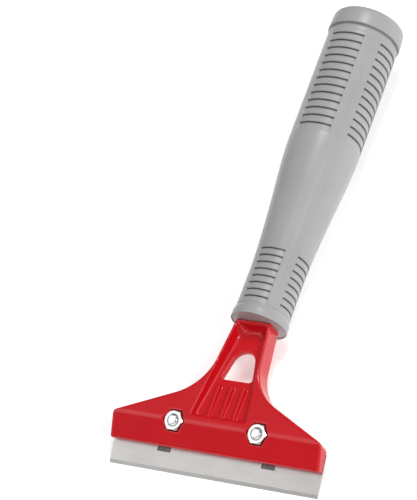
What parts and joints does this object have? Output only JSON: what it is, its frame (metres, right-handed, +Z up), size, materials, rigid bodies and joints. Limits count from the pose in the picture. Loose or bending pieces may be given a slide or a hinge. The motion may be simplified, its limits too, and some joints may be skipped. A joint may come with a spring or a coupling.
{
  "type": "floor scraper",
  "caption": "Hand scraper with a wide blade clamped under a red cast head by captive-nut bolts, on a hollow grey ridged handle with a pull-off end cap.",
  "frame": {"origin": "centre of the bounding box on the floor that the tool lies on, front face up", "axes": "+X along the blade's edge, +Y from the blade towards the handle's end cap, +Z up out of the head's front face; the handle rises about 4.7 degrees from the blade, as the tool lies on its blade edge and the rim of its grip"},
  "size_m": [0.1, 0.219, 0.0405],
  "materials": {
    "red_paint": "glossy paint over a die-cast surface",
    "dark_steel": "blackened sheet steel",
    "blade_steel": "satin ground spring steel",
    "bright_zinc": "bright zinc plate",
    "zinc_plate": "satin zinc plate",
    "grey_plastic": "satin moulded plastic",
    "cap_plastic": "satin moulded plastic"
  },
  "bodies": {
    "handle": {"head_casting": "red_paint", "grip": "grey_plastic", "handle_screw": "zinc_plate", "handle_washer": "zinc_plate", "handle_spring_washer": "zinc_plate", "clamp_nut_left": "bright_zinc", "clamp_nut_right": "bright_zinc"},
    "clamp": {"clamp_plate": "dark_steel", "flat_washer_left": "zinc_plate", "flat_washer_right": "zinc_plate", "spring_washer_left": "zinc_plate", "spring_washer_right": "zinc_plate"},
    "bolt_left": {"clamp_bolt_left": "bright_zinc"},
    "bolt_right": {"clamp_bolt_right": "bright_zinc"},
    "blade": {"blade": "blade_steel"},
    "cap": {"end_cap": "cap_plastic"}
  },
  "joints": [
    {"name": "clamp_release", "type": "slide", "parent": "handle", "child": "clamp", "axis": [0, 0.3352, -0.9422], "range_m": [0, 0.003]},
    {"name": "bolt_left_turn", "type": "hinge", "parent": "clamp", "child": "bolt_left", "pos_m": [-0.02, -0.08963, 0.00739], "axis": [0, 0.3352, -0.9422], "range_deg": [0, 1350]},
    {"name": "bolt_right_turn", "type": "hinge", "parent": "clamp", "child": "bolt_right", "pos_m": [0.02, -0.08963, 0.00739], "axis": [0, 0.3352, -0.9422], "range_deg": [0, 1350]},
    {"name": "blade_slide", "type": "slide", "parent": "handle", "child": "blade", "axis": [0, -0.9422, -0.3352], "range_m": [0, 0.02]},
    {"name": "cap_pull", "type": "slide", "parent": "handle", "child": "cap", "axis": [0, 0.9968, 0.0799], "range_m": [0, 0.03]}
  ],
  "couplings": [
    {"joint": "bolt_left_turn", "follows": "clamp_release", "rad_per_m": 7854},
    {"joint": "bolt_right_turn", "follows": "clamp_release", "rad_per_m": 7854}
  ]
}
